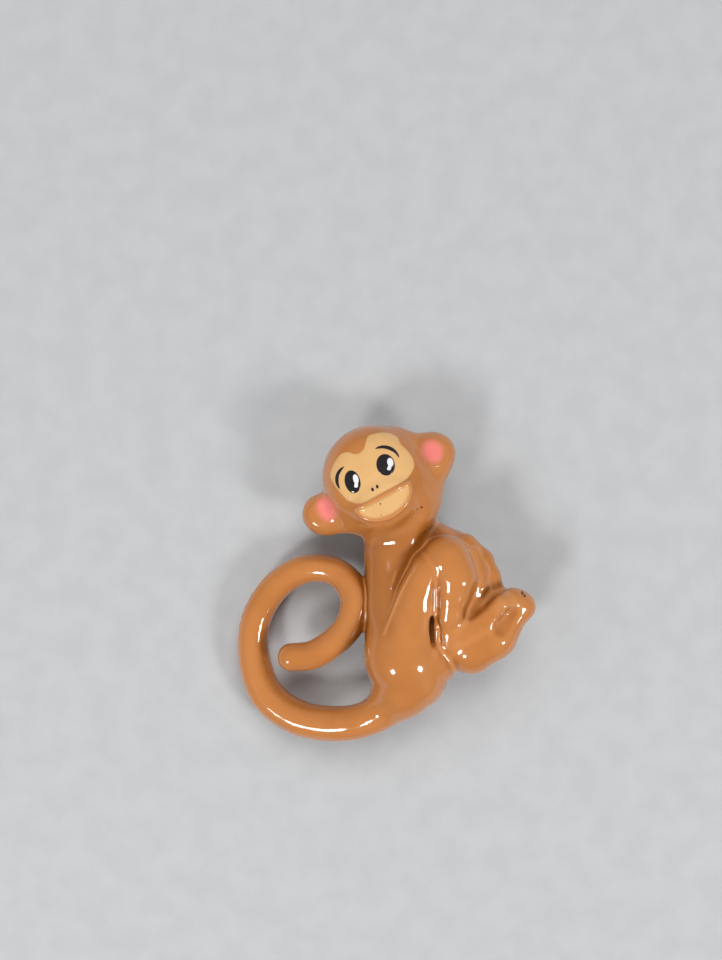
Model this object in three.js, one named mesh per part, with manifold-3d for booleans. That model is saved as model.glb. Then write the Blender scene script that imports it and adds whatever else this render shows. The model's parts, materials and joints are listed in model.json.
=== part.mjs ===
// A figural brooch: a sitting monkey cast in one piece and enamelled, with a bar pin and a safety catch on its back.
// Millimetres. The brooch lies on its back: +Z is away from the wearer, +Y is the top of the monkey, +X its feet.
import * as THREE from "three";
import { mergeVertices } from "three/addons/utils/BufferGeometryUtils.js";
import Module from "manifold-3d";

const wasm = await Module();
wasm.setup();

// ---------------------------------------------------------------- driving dimensions

const DEGREE = Math.PI / 180;
const GAP = 0.05; // between pieces that touch on the real brooch

// The casting. Each bead of a limb is [x, y, z, radius].
const BACK_Z = 3.85; // the flat plane that the body, head and ears are cast against
const POCKET = [
  [1.3, 4.2, BACK_Z, 2.0],
  [2.0, -2.6, BACK_Z, 2.5],
  [2.6, -9.2, BACK_Z, 2.8],
]; // the trough that lightens the back of the torso

const TORSO = [
  [1.1, 3.2, 6.9, 3.7],
  [1.9, -2.6, 7.0, 4.4],
  [2.3, -9.6, 7.0, 4.9],
];
const NECK = [
  [0.4, 9.4, 6.4, 4.3],
  [1.4, 4.2, 6.4, 3.9],
];
const JAW = [
  [-6.2, 7.6, 6.4, 1.4],
  [-2.6, 6.4, 6.4, 1.5],
];
const NAPE = [
  [5.3, 14.0, 6.0, 1.9],
  [3.9, 7.4, 6.2, 2.9],
];
const SHOULDER = [
  [4.2, 5.0, 6.2, 3.0],
  [9.4, 1.6, 6.3, 3.5],
  [10.6, -4.6, 6.2, 3.2],
];
const RUMP = [
  [2.3, -10.2, 6.8, 4.8],
  [4.7, -8.3, 6.8, 4.2],
];
const THIGH = [
  [2.0, -9.2, 7.4, 4.1],
  [5.5, 1.2, 8.6, 2.4],
];
const KNEE_AND_SHIN = [
  [7.3, 2.8, 9.0, 3.0],
  [7.8, -0.6, 9.0, 2.2],
  [7.3, -6.0, 8.2, 1.9],
];
const FAR_ARM = [
  [9.9, 4.1, 7.4, 1.4],
  [11.6, 2.4, 7.4, 1.4],
  [12.2, 0.6, 7.2, 1.4],
];
const FAR_SHIN = [
  [10.3, 3.4, 8.4, 1.1],
  [11.2, 1.2, 8.4, 1.1],
  [10.7, -1.6, 8.2, 1.2],
];
const FOOT = [
  [9.9, -7.4, 7.2, 3.1],
  [12.4, -5.8, 7.4, 2.7],
  [15.2, -2.3, 7.6, 1.9],
];
const TOES = [
  [14.4, -1.6, 8.2, 1.4],
  [15.9, -2.6, 7.0, 1.5],
];
const HAND = [
  [8.6, -5.6, 8.9, 1.3],
  [11.4, -4.1, 9.2, 1.4],
  [12.9, -2.4, 9.0, 1.3],
];
const TAIL = [
  [1.9, -13.3, 6.0, 2.7],
  [-1.9, -16.0, 5.2, 2.1],
  [-5.7, -17.0, 4.2, 2.15],
  [-10.3, -16.1, 2.9, 2.07],
  [-14.4, -13.4, 2.1, 2.05],
  [-16.0, -9.1, 2.0, 1.9],
  [-15.9, -4.8, 2.3, 1.83],
  [-13.8, -0.9, 2.6, 1.77],
  [-10.7, 1.4, 3.0, 1.76],
  [-7.6, 1.8, 3.6, 1.69],
  [-5.1, 0.6, 4.2, 1.62],
  [-3.9, -2.0, 5.0, 1.61],
  [-4.9, -5.7, 5.2, 1.67],
  [-8.3, -8.4, 5.2, 1.73],
  [-11.3, -8.8, 5.2, 1.67],
];
const TAIL_PIECES = 26;
const TAIL_WEB = [
  [-2.7, 1.2, 5.5, 1.1],
  [-2.5, -4.4, 5.5, 1.1],
];

// The head, in a frame of its own: +X to the monkey's left ear, +Y to the top of its skull, +Z out of its face.
const HEAD_CENTRE = [-1.3, 12.5, 7.2];
const HEAD_TILT = 28 * DEGREE;
const SKULL = { at: [0, 0, 0], radii: [6.15, 6.3, 5.5] };
const MUZZLE = { at: [-0.1, -3.2, 2.0], radii: [4.1, 2.9, 3.5] };
const EAR_SPREAD = 7.4;
const EAR_DROP = -0.8;
const EAR_Z = -0.7;
const EAR_RADII = [2.4, 2.4, 2.2];

// Enamel is laid in layers over the casting: the pads, then the eyes, then the glints in the eyes.
const PAD_LAYER = [GAP, 0.3];
const EYE_LAYER = [0.3 + GAP, 0.5];
const GLINT_LAYER = [0.5 + GAP, 0.7];

const MASK_OUTLINE = [
  [1.6, 4.7],
  [3.4, 4.1],
  [4.4, 3.2],
  [4.5, 1.8],
  [4.7, 0.2],
  [4.2, -1.1],
  [2.8, -2.0],
  [0, -2.6],
  [-2.6, -2.2],
  [-3.9, -1.0],
  [-4.3, 1.0],
  [-4.2, 2.8],
  [-3.3, 3.8],
  [-2.1, 4.3],
  [-1.2, 4.0],
  [-0.4, 3.4],
  [0.4, 3.7],
];
const MUZZLE_TOP = -2.1; // the straight mouth line
const MUZZLE_PAD_RADII = [3.25, 2.5];
const EAR_PAD_RADII = [1.15, 1.4];
const EAR_PAD_SPREAD = 6.9; // the pads sit on the inner half of the ears

// Each side of the face: the two eyes differ, because the head is turned a little.
const FACE_SIDES = {
  right: {
    eye: [1.7, 0.8],
    eyeRadii: [1.06, 1.24],
    glint: [2.1, 0.85],
    glintTail: [1.85, 0.4],
    brow: { at: [1.5, 1.0], radius: 1.93, from: -4 * DEGREE, to: 88 * DEGREE },
    nostril: [-0.25, -0.95],
  },
  left: {
    eye: [-2.45, 0.85],
    eyeRadii: [0.9, 1.3],
    glint: [-2.0, 1.05],
    glintTail: [-2.2, 0.5],
    brow: { at: [-2.4, 1.1], radius: 1.7, from: 92 * DEGREE, to: 186 * DEGREE },
    nostril: [-0.9, -0.95],
  },
};
const GLINT_RADII = [0.32, 0.5];
const GLINT_TAIL_RADIUS = 0.2;
const BROW_WIDTH = 0.26;
const NOSTRIL_RADIUS = 0.19;

// The pin back. The pin lies along X, at this height up the monkey and above the table.
const PIN_Y = 2.4;
const PIN_Z = 1.5;
const HINGE_X = -1.2;
const CATCH_X = 10.2;
const TIP_X = 12.7;

const BAR_WIDTH = 3.2;
const BAR_THICKNESS = 0.6;
const BAR_TOP = BACK_Z - GAP;
const BAR_BOTTOM = BAR_TOP - BAR_THICKNESS;
const BAR_START_X = HINGE_X - 1.3;
const BAR_END_X = CATCH_X + 0.6; // level with the housing, clear of the catch's lever
const BAR_RIVETS = { bar_rivet_hinge_side: 1.8, bar_rivet_catch_side: 7.4 };
const RIVET_RADIUS = 0.45;
const RIVET_HEAD_RADIUS = 0.9;
const RIVET_HEAD_HEIGHT = 0.35;
const RIVET_DEPTH = 1.3;
const BOSS_RADIUS = 1.2;
const BOSS_HEIGHT = 3.0; // far enough to stand on the trough's ceiling

const BRACKET_TOP = BAR_BOTTOM - GAP;
const BRACKET_BASE = 0.3;
const BRACKET_LENGTH = 2.6;
const EAR_GAP = 1.5; // clear width between the bracket's two ears
const EAR_THICKNESS = 0.4;
const EAR_RADIUS = PIN_Z; // the ears stand on the table
const HINGE_PIN_RADIUS = 0.42;
const HINGE_PIN_HEAD = { radius: 0.75, height: 0.25 };

const STEM_RADIUS = 0.36;
const STEM_POINT_LENGTH = 2.0;
const EYE_RADIUS = 1.1;

const HOUSING_RADIUS = PIN_Z; // the housing stands on the table too
const HOUSING_BORE = 1.0;
const HOUSING_LENGTH = 1.2;
const HOUSING_SLOT = 0.95;
const ROTOR_RADIUS = HOUSING_BORE - 0.07;
const ROTOR_SLOT = 0.9;
const ROTOR_FLANGE_RADIUS = 1.3;
const ROTOR_FLANGE = 0.4;
const LEVER_LENGTH = 2.2;
const LEVER_WIDTH = 0.6;
const LEVER_DROP = 30 * DEGREE; // the open lever points this far below level

const BODY_SEGMENTS = 16;
const END_SEGMENTS = 12; // the smaller limbs
const TAIL_SEGMENTS = 12;
const METAL_SEGMENTS = 20;

// ---------------------------------------------------------------- solids

// A geometry as a manifold solid, moved by a matrix.
function solid(geometry, matrix = new THREE.Matrix4()) {
  const bare = geometry.clone().applyMatrix4(matrix);
  bare.deleteAttribute("normal");
  bare.deleteAttribute("uv");
  const merged = mergeVertices(bare, 1e-5);
  const index = merged.index.array;
  const triVerts = [];
  for (let i = 0; i < index.length; i += 3) {
    const [a, b, c] = [index[i], index[i + 1], index[i + 2]];
    if (a !== b && b !== c && c !== a) triVerts.push(a, b, c);
  }
  return new wasm.Manifold(
    new wasm.Mesh({
      numProp: 3,
      vertProperties: new Float32Array(merged.attributes.position.array),
      triVerts: new Uint32Array(triVerts),
    }),
  );
}

function union(solids) {
  return solids.reduce((whole, next) => whole.add(next));
}

function at(x, y, z) {
  return new THREE.Matrix4().makeTranslation(x, y, z);
}

function box(x0, x1, y0, y1, z0, z1) {
  const geometry = new THREE.BoxGeometry(x1 - x0, y1 - y0, z1 - z0);
  return solid(geometry, at((x0 + x1) / 2, (y0 + y1) / 2, (z0 + z1) / 2));
}

// A round bar from one value to another along an axis, through a point given on the other two.
function rod(axis, radius, from, to, point, segments = METAL_SEGMENTS) {
  const geometry = new THREE.CylinderGeometry(radius, radius, to - from, segments);
  const middle = [...point];
  middle["xyz".indexOf(axis)] = (from + to) / 2;
  if (axis === "x") geometry.rotateZ(-90 * DEGREE);
  if (axis === "z") geometry.rotateX(90 * DEGREE);
  return solid(geometry, at(...middle));
}

// A round-ended taper between two beads: the profile is an arc about each bead, joined by their common tangent.
function limb(a, b, segments) {
  const start = new THREE.Vector3(...a);
  const along = new THREE.Vector3(...b).sub(start);
  const length = along.length();
  const slope = Math.asin(THREE.MathUtils.clamp((a[3] - b[3]) / length, -1, 1));
  const arcSteps = segments / 4;
  const profile = [];
  for (const [height, radius, from, to] of [
    [0, a[3], -90 * DEGREE, slope],
    [length, b[3], slope, 90 * DEGREE],
  ]) {
    for (let step = 0; step <= arcSteps; step += 1) {
      const angle = from + ((to - from) * step) / arcSteps;
      const onAxis = Math.abs(Math.abs(angle) - 90 * DEGREE) < 1e-9;
      const x = onAxis ? 0 : radius * Math.cos(angle);
      profile.push(new THREE.Vector2(x, height + radius * Math.sin(angle)));
    }
  }
  const turn = new THREE.Quaternion().setFromUnitVectors(new THREE.Vector3(0, 1, 0), along.normalize());
  const placing = new THREE.Matrix4().compose(start, turn, new THREE.Vector3(1, 1, 1));
  return solid(new THREE.LatheGeometry(profile, segments), placing);
}

function chain(beads, segments = BODY_SEGMENTS) {
  return union(beads.slice(1).map((bead, i) => limb(beads[i], bead, segments)));
}

// The same beads on a smooth curve through them, with the radius blended from bead to bead.
function smoothed(beads, pieces) {
  const curve = new THREE.CatmullRomCurve3(beads.map(([x, y, z]) => new THREE.Vector3(x, y, z)));
  const result = [];
  for (let i = 0; i <= pieces; i += 1) {
    const place = (i / pieces) * (beads.length - 1);
    const before = Math.min(Math.floor(place), beads.length - 2);
    const radius = THREE.MathUtils.lerp(beads[before][3], beads[before + 1][3], place - before);
    const point = curve.getPoint(i / pieces);
    result.push([point.x, point.y, point.z, radius]);
  }
  return result;
}

// An ellipsoid grown evenly by a layer's height, in the frame that the matrix gives.
function ellipsoid({ at: centre, radii }, growth = 0, frame = new THREE.Matrix4()) {
  const grown = new THREE.Vector3(...radii.map((radius) => radius + growth));
  const shape = new THREE.Matrix4().makeTranslation(...centre).scale(grown);
  const ball = new THREE.SphereGeometry(1, 24, 14).rotateX(90 * DEGREE);
  return solid(ball, new THREE.Matrix4().multiplyMatrices(frame, shape));
}

// ---------------------------------------------------------------- the casting

const headFrame = new THREE.Matrix4().makeRotationZ(HEAD_TILT).setPosition(...HEAD_CENTRE);

function earForm(side) {
  return { at: [side * EAR_SPREAD, EAR_DROP, EAR_Z], radii: EAR_RADII };
}

function monkeyCasting() {
  const limbs = [TORSO, NECK, NAPE, SHOULDER, RUMP, THIGH, KNEE_AND_SHIN];
  const ends = [JAW, FAR_ARM, FAR_SHIN, FOOT, TOES, HAND];
  const head = [SKULL, MUZZLE, earForm(1), earForm(-1)].map((form) => ellipsoid(form, 0, headFrame));
  let casting = union([...limbs.map((beads) => chain(beads)), ...ends.map((beads) => chain(beads, END_SEGMENTS)), ...head]);
  casting = casting.subtract(box(-30, 30, -30, 30, -10, BACK_Z));
  casting = casting.subtract(chain(POCKET));
  for (const x of Object.values(BAR_RIVETS)) {
    casting = casting.add(rod("z", BOSS_RADIUS, BACK_Z, BACK_Z + BOSS_HEIGHT, [x, PIN_Y, 0]));
    casting = casting.subtract(
      rod("z", RIVET_RADIUS + GAP, BACK_Z - 1, BACK_Z + RIVET_DEPTH + GAP, [x, PIN_Y, 0]),
    );
  }
  casting = casting.add(chain(smoothed(TAIL, TAIL_PIECES), TAIL_SEGMENTS));
  return casting.add(chain(TAIL_WEB, TAIL_SEGMENTS));
}

// ---------------------------------------------------------------- enamel, in the head's own frame

// A straight prism through the face, from an outline seen from the front.
function prism(shape) {
  return solid(new THREE.ExtrudeGeometry(shape, { depth: 12, bevelEnabled: false, curveSegments: 10 }));
}

function oval([x, y], [rx, ry]) {
  return new THREE.Shape().absellipse(x, y, rx, ry, 0, 2 * Math.PI);
}

// What lies under an outline between two heights over a form.
function layer(outline, form, [bottom, top]) {
  return outline.intersect(ellipsoid(form, top)).subtract(ellipsoid(form, bottom));
}

function faceEnamel() {
  const outline = new THREE.Shape(
    new THREE.SplineCurve(MASK_OUTLINE.concat([MASK_OUTLINE[0]]).map((p) => new THREE.Vector2(...p))).getPoints(51),
  );
  return layer(prism(outline), SKULL, PAD_LAYER).subtract(ellipsoid(MUZZLE, PAD_LAYER[1] + GAP));
}

function muzzleEnamel() {
  const [x] = MUZZLE.at;
  const outline = new THREE.Shape();
  outline.absellipse(x, MUZZLE_TOP, ...MUZZLE_PAD_RADII, Math.PI, 2 * Math.PI);
  outline.closePath();
  return layer(prism(outline), MUZZLE, PAD_LAYER).subtract(ellipsoid(SKULL, PAD_LAYER[0]));
}

function earEnamel(side) {
  const outline = prism(oval([side * EAR_PAD_SPREAD, EAR_DROP], EAR_PAD_RADII));
  return layer(outline, earForm(side), PAD_LAYER).subtract(ellipsoid(SKULL, PAD_LAYER[0]));
}

function eye({ eye: centre, eyeRadii }) {
  return layer(prism(oval(centre, eyeRadii)), SKULL, EYE_LAYER);
}

function glint({ glint: centre, glintTail }) {
  const comma = prism(oval(centre, GLINT_RADII)).add(
    prism(oval(glintTail, [GLINT_TAIL_RADIUS, GLINT_TAIL_RADIUS])),
  );
  return layer(comma, SKULL, GLINT_LAYER);
}

function brow({ brow: { at: [x, y], radius, from, to } }) {
  const outline = new THREE.Shape();
  outline.absarc(x, y, radius + BROW_WIDTH / 2, from, to, false);
  outline.absarc(x, y, radius - BROW_WIDTH / 2, to, from, true);
  outline.closePath();
  return layer(prism(outline), SKULL, EYE_LAYER);
}

function nostril({ nostril: centre }) {
  return layer(prism(oval(centre, [NOSTRIL_RADIUS, NOSTRIL_RADIUS])), SKULL, EYE_LAYER);
}

// ---------------------------------------------------------------- the pin back

function pinBar() {
  const half = BAR_WIDTH / 2;
  const straight = box(BAR_START_X + half, BAR_END_X, PIN_Y - half, PIN_Y + half, BAR_BOTTOM, BAR_TOP);
  const roundEnd = rod("z", half, BAR_BOTTOM, BAR_TOP, [BAR_START_X + half, PIN_Y, 0]);
  let bar = straight.add(roundEnd);
  for (const x of Object.values(BAR_RIVETS))
    bar = bar.subtract(rod("z", RIVET_RADIUS + GAP, BAR_BOTTOM - 1, BAR_TOP + 1, [x, PIN_Y, 0]));
  return bar;
}

function barRivet(x) {
  const headTop = BAR_BOTTOM - GAP;
  const head = rod("z", RIVET_HEAD_RADIUS, headTop - RIVET_HEAD_HEIGHT, headTop, [x, PIN_Y, 0]);
  return head.add(rod("z", RIVET_RADIUS, headTop - RIVET_HEAD_HEIGHT / 2, BACK_Z + RIVET_DEPTH, [x, PIN_Y, 0]));
}

function hingeBracket() {
  const outer = EAR_GAP / 2 + EAR_THICKNESS;
  const halfLength = BRACKET_LENGTH / 2;
  const base = box(
    HINGE_X - halfLength,
    HINGE_X + halfLength,
    PIN_Y - outer,
    PIN_Y + outer,
    BRACKET_TOP - BRACKET_BASE,
    BRACKET_TOP,
  );
  const ears = [-1, 1].map((side) => {
    const inner = PIN_Y + (side * EAR_GAP) / 2;
    const edge = PIN_Y + side * outer;
    const [from, to] = [Math.min(inner, edge), Math.max(inner, edge)];
    const round = rod("y", EAR_RADIUS, from, to, [HINGE_X, 0, PIN_Z]);
    const web = box(HINGE_X - EAR_RADIUS * 0.8, HINGE_X + EAR_RADIUS * 0.8, from, to, PIN_Z, BRACKET_TOP - BRACKET_BASE / 2);
    return round.intersect(box(-9, 9, from - 1, to + 1, 0, BRACKET_TOP)).add(web);
  });
  const bore = rod("y", HINGE_PIN_RADIUS + GAP, PIN_Y - 5, PIN_Y + 5, [HINGE_X, 0, PIN_Z]);
  return union([base, ...ears]).subtract(bore);
}

function hingeRivet() {
  const face = EAR_GAP / 2 + EAR_THICKNESS + GAP;
  const end = face + HINGE_PIN_HEAD.height;
  const place = [HINGE_X, 0, PIN_Z];
  const shank = rod("y", HINGE_PIN_RADIUS, PIN_Y - end + 0.1, PIN_Y + end - 0.1, place);
  const heads = [-1, 1].map((side) => {
    const ends = [PIN_Y + side * face, PIN_Y + side * end].sort((a, b) => a - b);
    return rod("y", HINGE_PIN_HEAD.radius, ...ends, place);
  });
  return union([shank, ...heads]);
}

function pinStem() {
  const place = [HINGE_X, 0, PIN_Z];
  const half = EAR_GAP / 2 - GAP;
  const eyeRing = rod("y", EYE_RADIUS, PIN_Y - half, PIN_Y + half, place);
  const wireEnd = TIP_X - STEM_POINT_LENGTH;
  const wire = rod("x", STEM_RADIUS, HINGE_X + EYE_RADIUS / 2, wireEnd, [0, PIN_Y, PIN_Z], 16);
  const point = new THREE.CylinderGeometry(0.02, STEM_RADIUS, STEM_POINT_LENGTH, 16).rotateZ(-90 * DEGREE);
  const tip = solid(point, at(wireEnd + STEM_POINT_LENGTH / 2, PIN_Y, PIN_Z));
  const bore = rod("y", HINGE_PIN_RADIUS + GAP, PIN_Y - 5, PIN_Y + 5, place);
  return union([eyeRing, wire, tip]).subtract(bore);
}

// A slot from the catch's axis straight down, with a round bottom.
function catchSlot(width, from, to) {
  const round = rod("x", width / 2, from, to, [0, PIN_Y, PIN_Z]);
  return round.add(box(from, to, PIN_Y - width / 2, PIN_Y + width / 2, -1, PIN_Z));
}

function catchHousing() {
  const from = CATCH_X - HOUSING_LENGTH / 2;
  const to = CATCH_X + HOUSING_LENGTH / 2;
  const ring = rod("x", HOUSING_RADIUS, from, to, [0, PIN_Y, PIN_Z]);
  const foot = box(from, to, PIN_Y - HOUSING_BORE, PIN_Y + HOUSING_BORE, PIN_Z, BAR_BOTTOM - GAP);
  const bore = rod("x", HOUSING_BORE, from - 1, to + 1, [0, PIN_Y, PIN_Z]);
  return ring.add(foot).subtract(bore).subtract(catchSlot(HOUSING_SLOT, from - 1, to + 1));
}

function catchRotor() {
  const half = HOUSING_LENGTH / 2 + GAP;
  const [from, to] = [CATCH_X - half, CATCH_X + half];
  const place = [0, PIN_Y, PIN_Z];
  const drum = rod("x", ROTOR_RADIUS, from - 0.1, to + 0.1, place);
  const inner = rod("x", ROTOR_FLANGE_RADIUS, from - ROTOR_FLANGE, from, place);
  const outer = rod("x", ROTOR_FLANGE_RADIUS, to, to + ROTOR_FLANGE, place);
  const bar = new THREE.BoxGeometry(ROTOR_FLANGE, LEVER_LENGTH, LEVER_WIDTH);
  bar.translate(0, LEVER_LENGTH / 2, 0);
  bar.rotateX(-LEVER_DROP);
  const lever = solid(bar, at(to + ROTOR_FLANGE / 2, PIN_Y, PIN_Z));
  return union([drum, inner, outer, lever]).subtract(catchSlot(ROTOR_SLOT, from - 2, to + 2));
}

// ---------------------------------------------------------------- materials and the assembled group

const BROWN_ENAMEL = { color: 0xb8713a, roughness: 0.12, metalness: 0 };
const BEIGE_ENAMEL = { color: 0xe0ae78, roughness: 0.15, metalness: 0 };
const PINK_ENAMEL = { color: 0xf0887e, roughness: 0.15, metalness: 0 };
const BLACK_ENAMEL = { color: 0x1a1517, roughness: 0.15, metalness: 0 };
const WHITE_ENAMEL = { color: 0xf4f1f2, roughness: 0.15, metalness: 0 };
const NICKEL = { color: 0xb9bbbd, roughness: 0.28, metalness: 1 };

function piece(name, manifold, look) {
  const made = manifold.getMesh();
  const geometry = new THREE.BufferGeometry();
  geometry.setAttribute("position", new THREE.BufferAttribute(new Float32Array(made.vertProperties), 3));
  geometry.setIndex(new THREE.BufferAttribute(new Uint32Array(made.triVerts), 1));
  geometry.computeVertexNormals();
  const mesh = new THREE.Mesh(geometry, new THREE.MeshStandardMaterial(look));
  mesh.name = name;
  return mesh;
}

const head = new THREE.Group();
head.position.set(...HEAD_CENTRE);
head.rotation.z = HEAD_TILT;
head.add(piece("face_enamel", faceEnamel(), BEIGE_ENAMEL));
head.add(piece("muzzle_enamel", muzzleEnamel(), BEIGE_ENAMEL));
head.add(piece("ear_enamel_right", earEnamel(1), PINK_ENAMEL));
head.add(piece("ear_enamel_left", earEnamel(-1), PINK_ENAMEL));
for (const [side, places] of Object.entries(FACE_SIDES)) {
  head.add(piece(`eye_${side}`, eye(places), BLACK_ENAMEL));
  head.add(piece(`eye_glint_${side}`, glint(places), WHITE_ENAMEL));
  head.add(piece(`brow_${side}`, brow(places), BLACK_ENAMEL));
  head.add(piece(`nostril_${side}`, nostril(places), BLACK_ENAMEL));
}

const pinBack = new THREE.Group();
pinBack.add(piece("pin_bar", pinBar(), NICKEL));
for (const [name, x] of Object.entries(BAR_RIVETS)) pinBack.add(piece(name, barRivet(x), NICKEL));
pinBack.add(piece("hinge_bracket", hingeBracket(), NICKEL));
pinBack.add(piece("hinge_rivet", hingeRivet(), NICKEL));
pinBack.add(piece("pin_stem", pinStem(), NICKEL));
pinBack.add(piece("catch_housing", catchHousing(), NICKEL));
pinBack.add(piece("catch_rotor", catchRotor(), NICKEL));

const brooch = new THREE.Group();
brooch.add(piece("monkey_casting", monkeyCasting(), BROWN_ENAMEL), head, pinBack);

// The frame's origin is the middle of the whole brooch, level with its lowest point.
const bounds = new THREE.Box3().setFromObject(brooch, true);
const middle = bounds.getCenter(new THREE.Vector3());
brooch.position.set(-middle.x, -middle.y, -bounds.min.z);

export default brooch;
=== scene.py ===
"""Looks for the enamelled monkey brooch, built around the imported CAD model.

The casting and the pin back are sculpted as distance fields (round limbs and ellipsoids, blended where enamel
pools) and turned into meshes. The painted face is draped over the sculpted head. Lengths inside the sculpture
are millimetres in the figure's own frame: +X to the feet, +Y to the top of the head, +Z out of the face.
"""

import json
import math

import bpy
import numpy as np
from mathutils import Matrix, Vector


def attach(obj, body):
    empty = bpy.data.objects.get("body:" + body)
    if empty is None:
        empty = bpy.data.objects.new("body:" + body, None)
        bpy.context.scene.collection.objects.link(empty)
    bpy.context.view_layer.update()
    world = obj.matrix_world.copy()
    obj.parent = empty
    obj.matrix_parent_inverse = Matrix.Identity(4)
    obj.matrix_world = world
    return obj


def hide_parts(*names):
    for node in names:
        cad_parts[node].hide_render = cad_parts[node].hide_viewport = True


MM = 0.001
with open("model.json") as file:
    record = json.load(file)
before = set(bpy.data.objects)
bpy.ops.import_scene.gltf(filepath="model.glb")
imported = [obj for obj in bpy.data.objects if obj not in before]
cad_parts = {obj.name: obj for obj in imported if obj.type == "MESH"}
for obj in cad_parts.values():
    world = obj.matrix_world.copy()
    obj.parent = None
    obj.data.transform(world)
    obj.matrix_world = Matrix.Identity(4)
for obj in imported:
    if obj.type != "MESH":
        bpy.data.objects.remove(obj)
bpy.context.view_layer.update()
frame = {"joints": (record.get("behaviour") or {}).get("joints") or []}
JOINTS = {joint["name"]: joint for joint in frame["joints"]}

# ------------------------------------------------------------------ the figure's own frame

PIN_Y, PIN_Z = 2.4, 1.5  # the pin's line
HINGE_X, CATCH_X, TIP_X = -1.2, 10.2, 12.7
RIVETS = {"bar_rivet_hinge_side": 1.8, "bar_rivet_catch_side": 7.4}
HINGE = np.array([HINGE_X, PIN_Y, PIN_Z])
CATCH = np.array([CATCH_X, PIN_Y, PIN_Z])
ORIGIN = np.array(JOINTS["pin_swing"]["pos_m"]) / MM - HINGE


def to_row(points):
    """Figure millimetres to metres in the row frame."""
    return (np.asarray(points, float) + ORIGIN) * MM


# ------------------------------------------------------------------ the casting's forms
# A bead is x, y, z and a radius. Neighbouring beads are joined by round tapers.

BACK_Z = 3.85  # the casting's flat back
HEAD_CENTRE = np.array([-1.3, 12.5, 7.2])
HEAD_TILT = math.radians(28)

TORSO = [(1.1, 3.3, 5.1, 3.6), (1.5, -2.6, 4.7, 4.2), (2.2, -8.8, 6.4, 4.4)]
NECK = [(0.6, 9.4, 5.9, 4.1), (1.5, 4.4, 5.3, 3.7)]
NECK_ROLL = [(2.3, 5.8, 7.5, 2.0), (3.4, 7.9, 8.1, 1.8)]
SHOULDER = [(4.2, 5.2, 5.4, 2.9), (8.1, 2.9, 5.2, 3.2), (9.2, 1.2, 4.9, 3.5), (10.4, -4.6, 5.2, 3.2)]
RUMP = [(4.6, -8.5, 5.8, 4.1), (1.9, -8.3, 7.1, 4.2), (3.0, -10.6, 5.9, 4.4)]
THIGH_CREST = [(2.2, -8.4, 7.4, 3.6), (2.8, -3.6, 8.55, 2.1), (3.4, -0.8, 9.3, 1.75), (4.6, 2.0, 9.8, 1.7)]
THIGH_FLANK = [(1.9, -9.0, 7.1, 4.0), (5.1, 2.2, 7.7, 2.5)]
KNEE_AND_SHIN = [
    (6.85, 3.2, 9.15, 2.8),
    (7.8, 1.1, 9.4, 2.35),
    (7.5, -1.2, 9.45, 1.75),
    (7.3, -3.2, 9.1, 1.6),
    (7.3, -6.6, 8.2, 1.6),
]
SHIN_FLANK = [(8.0, 2.0, 8.0, 2.15), (7.9, -2.2, 7.9, 1.6)]
FAR_ARM = [(9.4, 4.6, 6.7, 1.4), (11.2, 2.8, 6.8, 1.4), (12.1, 1.0, 6.8, 1.3), (12.6, -0.6, 6.8, 1.3)]
FAR_SHIN = [(10.1, 3.8, 7.9, 0.8), (10.8, 1.8, 8.1, 0.95), (10.8, -0.2, 8.1, 1.0), (10.1, -2.4, 8.1, 1.0)]
BEHIND_SHIN = [(9.4, 1.0, 6.5, 2.2), (10.2, -3.4, 7.2, 2.3)]
FOOT = [(9.9, -7.3, 7.2, 3.1), (12.4, -5.8, 7.3, 2.75), (15.2, -2.4, 7.4, 1.95)]
TOES = [(14.6, -1.6, 8.3, 1.35), (15.9, -2.5, 7.5, 1.5)]
KNUCKLES = [  # the bumps along the top of the foot
    (8.7, -5.3, 8.95, 1.4),
    (10.0, -4.6, 8.95, 1.2),
    (11.2, -3.8, 9.0, 1.3),
    (12.1, -3.0, 9.1, 1.2),
    (13.1, -2.0, 9.3, 1.3),
]
TAIL = [  # the tail's centre line, from the rump to the free end inside the ring
    (1.9, -13.3, 6.0, 2.6),
    (-1.9, -16.0, 5.2, 2.1),
    (-5.7, -17.0, 4.2, 2.1),
    (-10.5, -16.6, 2.9, 2.1),
    (-14.45, -13.95, 2.1, 2.05),
    (-16.0, -9.4, 2.05, 1.95),
    (-15.8, -4.9, 2.3, 1.85),
    (-13.7, -1.1, 2.6, 1.78),
    (-10.7, 1.15, 3.0, 1.75),
    (-7.6, 1.65, 3.6, 1.7),
    (-5.0, 0.6, 4.3, 1.75),
    (-3.5, -2.0, 5.2, 1.88),
    (-4.7, -5.6, 5.2, 1.75),
    (-8.3, -8.4, 5.2, 1.73),
    (-11.2, -8.8, 5.2, 1.67),
]
POCKET = [(1.3, 4.2, BACK_Z, 2.0), (2.0, -2.6, BACK_Z, 2.5), (2.6, -9.2, BACK_Z, 2.8)]
SLOT_BEHIND_KNEE = ((5.3, -5.0, 9.6), (0.38, 1.8, 1.5))
SLOT_LEAN = 0.08  # how far the slot leans in X for each millimetre of Y
SLOT_FOLD = [(6.0, 0.2, 9.5, 0.35), (5.85, -4.5, 9.4, 0.4), (5.75, -7.3, 8.8, 0.4)]
ARM_CREASE = [(9.6, -2.7, 10.25, 0.35), (12.9, 0.1, 9.3, 0.35)]
SOLE_PIT = [(13.3, -4.7, 10.3, 0.5), (14.2, -3.2, 10.0, 0.5)]
THIGH_EDGE = [(2.75, 1.7), (1.6, -0.6), (0.4, -3.6), (-0.3, -5.3)]
TORSO_FOLD = [(1.2, 1.7), (0.65, -0.1)]

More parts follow.
